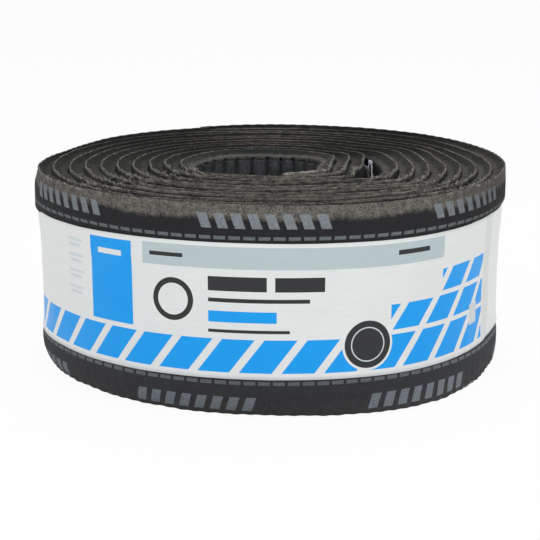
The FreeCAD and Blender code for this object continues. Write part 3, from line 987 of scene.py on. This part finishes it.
def fabric_material(name, printed):
    """Fuzzy nonwoven: charcoal on the wall, brownish grey along the edges, with a painted highlight on the
    crests, pale where frayed, and painted shade on the slopes.
    """
    nodes = Nodes(name)
    place_of = nodes.position()
    reach = nodes.attribute("reach")
    shade = nodes.attribute("shade")
    grain = nodes.noise(place_of, 480.0, 3.0, 0.75)
    fine = nodes.noise(nodes.stretched(place_of, 0.55), 1500.0, 2.0, 0.6)
    patch = nodes.noise(place_of, 130.0, 3.0, 0.65)
    broad = nodes.noise(place_of, 16.0, 2.0, 0.5)
    mottle = nodes.weigh(grain, 0.55, patch, 0.45)
    mottled = nodes.ramp(mottle, 0.38, 0.62)
    upper_half = nodes.ramp(nodes.height(), *UPPER_HALF)

    wall = nodes.mix(patch, rgb(0.0232, 0.0238, 0.0260), rgb(0.0388, 0.0395, 0.0425))
    # Painted shade: the wall is darker towards its top
    wall = nodes.scale(wall, nodes.ramp(nodes.height(), 0.06, 0.22, 1.0, 0.66))
    rim = rim_colour(nodes, grain, patch, mottle, printed)
    # Painted shade: the rim is darker where the slopes are painted darkest, at the back
    rim = nodes.scale(rim, nodes.ramp(shade, 0.30, 0.62, 0.50, 1.0))
    # The slopes: dark fabric, painted darker still for the shade between the turns
    slope = nodes.mix(mottled, rgb(0.008, 0.008, 0.007), rgb(0.034, 0.032, 0.028))
    hem = nodes.mix(mottled, rgb(0.034, 0.033, 0.031), rgb(0.096, 0.091, 0.084))

    ragged = nodes.math("SUBTRACT", nodes.weigh(patch, 0.018, broad, 0.024), 0.021)
    rim_reach = nodes.weigh(reach, 1.0, ragged, 0.45 if printed else 0.08)
    rim_span = (-0.0205, -0.0125) if printed else (-0.0052, -0.0024)
    rim_share = nodes.both(nodes.ramp(rim_reach, *rim_span), nodes.ramp(upper_half, 0.0, 1.0, 0.05, 0.95))
    hem_share = nodes.ramp(nodes.weigh(reach, 1.0, ragged, 0.35), 0.0075, 0.0140)
    colour = nodes.mix(rim_share, wall, rim)
    # The slopes and hems carry the painted shade round the roll
    colour = nodes.mix(nodes.ramp(reach, 0.0004, 0.0018), colour, nodes.scale(slope, shade))
    colour = nodes.mix(hem_share, colour, nodes.scale(hem, shade))
    # A painted highlight on the crests at the sides, and pale fringes where the edge is frayed
    colour = nodes.mix(crest_highlight_and_fray(nodes, place_of, reach, patch), colour, rgb(0.290, 0.275, 0.250))
    # Painted shade: the dark strip at the back of the innermost turns
    colour = nodes.mix(nodes.attribute("painted_shade_strip"), colour, rgb(0.017, 0.020, 0.020))
    if printed:
        ink_share = nodes.both(fabric_print(nodes), nodes.ramp(grain, 0.30, 0.50, 0.35, 0.95))
        ink = nodes.mix(upper_half, rgb(0.146, 0.164, 0.178), rgb(0.203, 0.225, 0.239))
        colour = nodes.mix(ink_share, colour, ink)
    # Random tone, a lighter cut end, and the painted shade and light of the outermost wall
    colour = nodes.scale(colour, nodes.attribute("tone_and_painted_light"))
    nodes.set("Base Color", nodes.scale(colour, nodes.ramp(fine, 0.2, 0.8, 0.70, 1.30)))
    nodes.set("Roughness", 0.94)
    nodes.set("Specular IOR Level", 0.10)
    nodes.set("Sheen Weight", 0.04)
    nodes.set("Sheen Roughness", 0.5)
    nodes.bump(nodes.weigh(grain, 1.0, fine, 0.6), 0.0010, 0.7)
    return nodes.material


def matrix_material():
    """Black nylon filaments, bluish where they catch light."""
    nodes = Nodes("nylon_matrix")
    place_of = nodes.position()
    strands = nodes.noise(nodes.stretched(place_of, 0.35), 420.0, 3.0, 0.7)
    tint = nodes.ramp(nodes.noise(place_of, 34.0, 1.0, 0.5), 0.35, 0.65)
    dull = nodes.mix(tint, rgb(0.014, 0.018, 0.017), rgb(0.018, 0.017, 0.023))
    bright = nodes.mix(tint, rgb(0.052, 0.064, 0.064), rgb(0.070, 0.068, 0.082))
    colour = nodes.mix(nodes.ramp(strands, 0.35, 0.7), dull, bright)
    # Painted shade: the matrix is darker in the hollows between its folds
    nodes.set("Base Color", nodes.scale(colour, nodes.ramp(nodes.attribute("fold"), 0.0, 0.9, 0.20, 1.05)))
    nodes.set("Roughness", 0.55)
    nodes.bump(strands, 0.0015, 0.8)
    return nodes.material


def strand_material(name, grain, dark, light, roughness):
    """A plain finish for thin strands, uneven from place to place."""
    nodes = Nodes(name)
    nodes.set("Base Color", nodes.mix(nodes.noise(nodes.position(), grain), dark, light))
    nodes.set("Roughness", roughness)
    return nodes.material


def band_arc(nodes):
    """The way round the band from its front, to the right and the left."""
    half_round = math.pi * BAND_RADIUS
    return nodes.math("WRAP", nodes.attribute("along"), half_round, -half_round)


def band_print(nodes, paper):
    """The band's generic print: slanted bars, rings and plain blocks, one over another."""
    along = band_arc(nodes)
    up = nodes.attribute("up")
    blue = rgb(0.006, 0.350, 0.900)
    grey = rgb(0.500, 0.585, 0.600)
    pale = rgb(0.640, 0.700, 0.720)
    dark = rgb(0.030, 0.031, 0.033)

    def block(left, right, low, high):
        across = nodes.within(along, (left + right) / 2, (right - left) / 2)
        return nodes.both(across, nodes.within(up, (low + high) / 2, (high - low) / 2))

    def disc(centre, middle, radius):
        away = [nodes.math("SUBTRACT", along, centre), nodes.math("SUBTRACT", up, middle)]
        squares = nodes.math("ADD", *(nodes.both(part, part) for part in away))
        return nodes.math("LESS_THAN", nodes.math("SQRT", squares), radius)

    def slanted(left, right, low, high):
        moved = nodes.math("SUBTRACT", along, nodes.both(up, STRIPE_LEAN))
        local = nodes.math("WRAP", moved, STRIPE_PITCH, 0.0)
        bars = nodes.within(local, STRIPE_PITCH / 2, STRIPE_WIDTH / 2)
        return nodes.both(bars, block(left, right, low, high))

    rings = ((0.033, paper), (0.030, dark), (0.022, pale), (0.0205, dark))
    layers = [
        (block(-0.165, 0.232, 0.1375, 0.165), grey),
        (slanted(-0.420, 0.338, 0.008, 0.050), blue),
        (slanted(0.150, 0.338, 0.056, 0.088), blue),
        (slanted(0.232, 0.338, 0.094, 0.122), blue),
        (block(0.296, 0.318, 0.034, 0.062), pale),
        (block(-0.252, -0.182, 0.056, 0.163), blue),
        (block(-0.238, -0.198, 0.142, 0.149), paper),
        (disc(-0.124, 0.096, 0.027), dark),
        (disc(-0.124, 0.096, 0.020), paper),
        (block(-0.078, -0.006, 0.110, 0.128), dark),
        (block(0.004, 0.064, 0.110, 0.128), dark),
        (block(-0.078, 0.046, 0.096, 0.101), dark),
        (block(-0.078, 0.006, 0.071, 0.085), blue),
        (block(-0.078, 0.022, 0.058, 0.062), dark),
        *((disc(0.119, 0.041, radius), ink) for radius, ink in rings),
        (block(0.158, 0.206, 0.150, 0.156), dark),
        (block(-0.155, -0.110, 0.149, 0.154), dark),
    ]
    for row in range(4):
        low = 0.150 - 0.021 * row
        layers.append((block(-0.302, -0.270, low, low + 0.004), pale))
        layers.append((block(-0.300, -0.274, low - 0.007, low - 0.003), pale))
    colour = paper
    for mask, ink in layers:
        colour = nodes.mix(mask, colour, ink)
    return colour


def paper_material():
    """White coated paper with faint laid lines, a little grey where it has been handled."""
    nodes = Nodes("coated_paper")
    place_of = nodes.position()
    lines = nodes.noise(nodes.stretched(place_of, 30.0), 26.0, 2.0, 0.5)
    smudge = nodes.noise(place_of, 18.0, 3.0, 0.55)
    paper = nodes.mix(smudge, rgb(0.755, 0.778, 0.776), rgb(0.824, 0.840, 0.834))
    # The strip where the band's ends lap is a tenth darker
    lap = nodes.within(band_arc(nodes), LAP_MIDDLE, LAP_HALF)
    colour = nodes.scale(band_print(nodes, paper), nodes.ramp(lap, 0.0, 1.0, 1.0, 0.90))
    nodes.set("Base Color", nodes.scale(colour, nodes.ramp(lines, 0.25, 0.75, 0.955, 1.0)))
    nodes.set("Roughness", nodes.ramp(smudge, 0.3, 0.7, 0.34, 0.46))
    nodes.set("Specular IOR Level", 0.22)
    nodes.bump(nodes.math("ADD", lines, smudge), 0.0004, 0.25)
    return nodes.material


def film_material():
    """Clear glossy film, cloudy along its creases, where the cloudiness also paints the highlights of its
    edges.
    """
    nodes = Nodes("clear_film")
    cloud = nodes.noise(nodes.position(), 90.0, 3.0, 0.6)
    haze = nodes.ramp(cloud, 0.3, 0.75, 0.03, 0.16)
    nodes.set("Base Color", nodes.mix(cloud, rgb(0.62, 0.67, 0.74), rgb(0.88, 0.90, 0.93)))
    nodes.set("Roughness", 0.12)
    nodes.set("IOR", 1.5)
    # The creases' cloudiness also paints the highlights of the film's edges
    nodes.set("Alpha", nodes.math("ADD", haze, nodes.attribute("crease")))
    nodes.bump(nodes.noise(nodes.position(), 150.0, 3.0, 0.6), 0.004, 0.8)
    return nodes.material


def seen_share(tree):
    """1 for the rays that the camera sees, straight or by way of gloss or film."""
    path = tree.nodes.new("ShaderNodeLightPath")
    seen = path.outputs["Is Camera Ray"]
    for kind in ("Is Glossy Ray", "Is Transmission Ray"):
        either = tree.nodes.new("ShaderNodeMath")
        either.operation = "MAXIMUM"
        tree.links.new(seen, either.inputs[0])
        tree.links.new(path.outputs[kind], either.inputs[1])
        seen = either.outputs[0]
    return seen


def blend_surface(tree, share, lit, plain, output):
    """Shows a plain shader to a share of the rays, and a lit one to the rest."""
    blend = tree.nodes.new("ShaderNodeMixShader")
    for source, socket in zip((share, lit.outputs[0], plain.outputs[0]), blend.inputs):
        tree.links.new(source, socket)
    tree.links.new(blend.outputs[0], tree.nodes[output].inputs["Surface"])


def build_floor():
    """A white floor that shows only a soft shadow."""
    corners = [(x * FLOOR_HALF, y * FLOOR_HALF, 0) for x, y in ((-1, -1), (1, -1), (1, 1), (-1, 1))]
    floor = link("floor", new_mesh("floor", corners, [(0, 1, 2, 3)], False))
    nodes = Nodes("white_floor")
    nodes.set("Base Color", rgb(0.88, 0.88, 0.88))
    nodes.set("Roughness", 0.9)
    share = nodes.both(seen_share(nodes.tree), FLOOR_WHITENESS)
    white = nodes.tree.nodes.new("ShaderNodeEmission")
    blend_surface(nodes.tree, share, nodes.surface, white, "Material Output")
    floor.data.materials.append(nodes.material)


def build_surround():
    """A surround that lights softly and is seen as white."""
    world = bpy.data.worlds.new("white_surround")
    bpy.context.scene.world = world
    world.use_nodes = True
    tree = world.node_tree
    lit = tree.nodes["Background"]
    lit.inputs["Strength"].default_value = SURROUND_STRENGTH
    plain = tree.nodes.new("ShaderNodeBackground")
    for shader in (lit, plain):
        shader.inputs["Color"].default_value = rgb(1, 1, 1)
    blend_surface(tree, seen_share(tree), lit, plain, "World Output")


def add_lamp(name, spot, target, size, power):
    """A soft square lamp that points at a target."""
    light = bpy.data.lights.new(name, "AREA")
    light.size = size
    light.energy = power
    lamp = link(name, light)
    lamp.location = spot
    lamp.rotation_euler = (Vector(target) - Vector(spot)).to_track_quat("-Z", "Y").to_euler()


def add_camera():
    """The camera fitted to the photograph, whose frame is square."""
    data = bpy.data.cameras.new("camera")
    data.lens = data.sensor_width * FOCAL_PIXELS / FRAME_PIXELS
    data.shift_x = SHIFT_PIXELS / FRAME_PIXELS
    camera = link("camera", data)
    camera.location = CAMERA_PLACE
    camera.rotation_euler = (math.pi / 2 - CAMERA_DIP, CAMERA_ROLL, 0)
    bpy.context.scene.camera = camera


def dress(piece, material, node):
    """Gives a piece its finish, lets it ride and stand for its CAD node."""
    piece.data.materials.append(material)
    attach(piece, "root")
    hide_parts(node)


dress(sweep_mat("mat_turns", INNER_END, WRAP_START, CORE_SPACING, CORE_LEVELS, False),
      fabric_material("nonwoven", False), "vent_roll")
dress(sweep_mat("mat_outer_turn", WRAP_START, OUTER_END, WRAP_SPACING, WRAP_LEVELS, True),
      fabric_material("nonwoven_printed", True), "vent_roll")
dress(build_matrix(), matrix_material(), "vent_roll")
nylon = strand_material("nylon_filament", 120.0, rgb(0.020, 0.022, 0.026), rgb(0.080, 0.088, 0.096), 0.45)
dress(build_filaments(), nylon, "vent_roll")
fibre = strand_material("pale_fibre", 240.0, rgb(0.17, 0.160, 0.144), rgb(0.46, 0.437, 0.400), 0.8)
dress(build_fibres(), fibre, "vent_roll")
dress(build_band(), paper_material(), "label_band")
dress(build_bag(), film_material(), "nail_bag")

build_floor()
build_surround()
for lamp_settings in LAMPS:
    add_lamp(*lamp_settings)
add_camera()

bpy.context.scene.view_settings.view_transform = "Standard"
